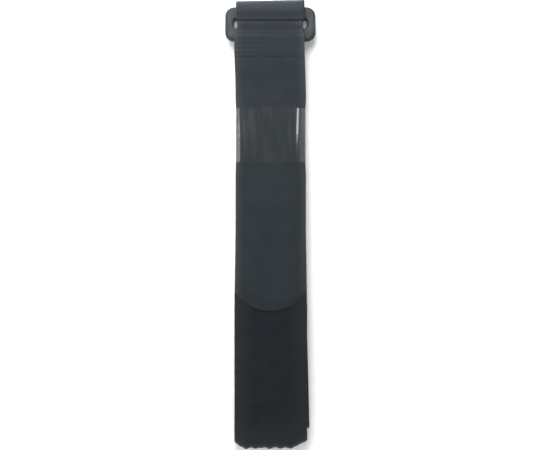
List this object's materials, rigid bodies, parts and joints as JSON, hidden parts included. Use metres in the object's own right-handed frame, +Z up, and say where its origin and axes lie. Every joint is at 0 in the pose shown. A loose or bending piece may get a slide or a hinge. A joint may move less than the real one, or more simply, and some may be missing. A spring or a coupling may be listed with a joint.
{
  "type": "hook and loop cable tie",
  "caption": "Flat reusable strap of loop tape with a hook tape end, closed through a rectangular slotted ring, folded in half and held by a clear film band.",
  "frame": {"origin": "middle of the box round the part, on the surface it lies on", "axes": "+X across the tape to the right seen from above, +Y along the tape towards the ring, +Z up from the surface"},
  "size_m": [0.0318, 0.1572, 0.0094],
  "materials": {
    "loop_pile": "brushed nylon loop pile",
    "hook_back": "smooth woven nylon back of hook tape",
    "black_plastic": "satin moulded black plastic",
    "clear_film": "thin clear glossy film"
  },
  "bodies": {
    "root": {"loop_tape": "loop_pile", "hook_tape": "hook_back", "slot_ring": "black_plastic", "clear_band": "clear_film"}
  },
  "joints": []
}
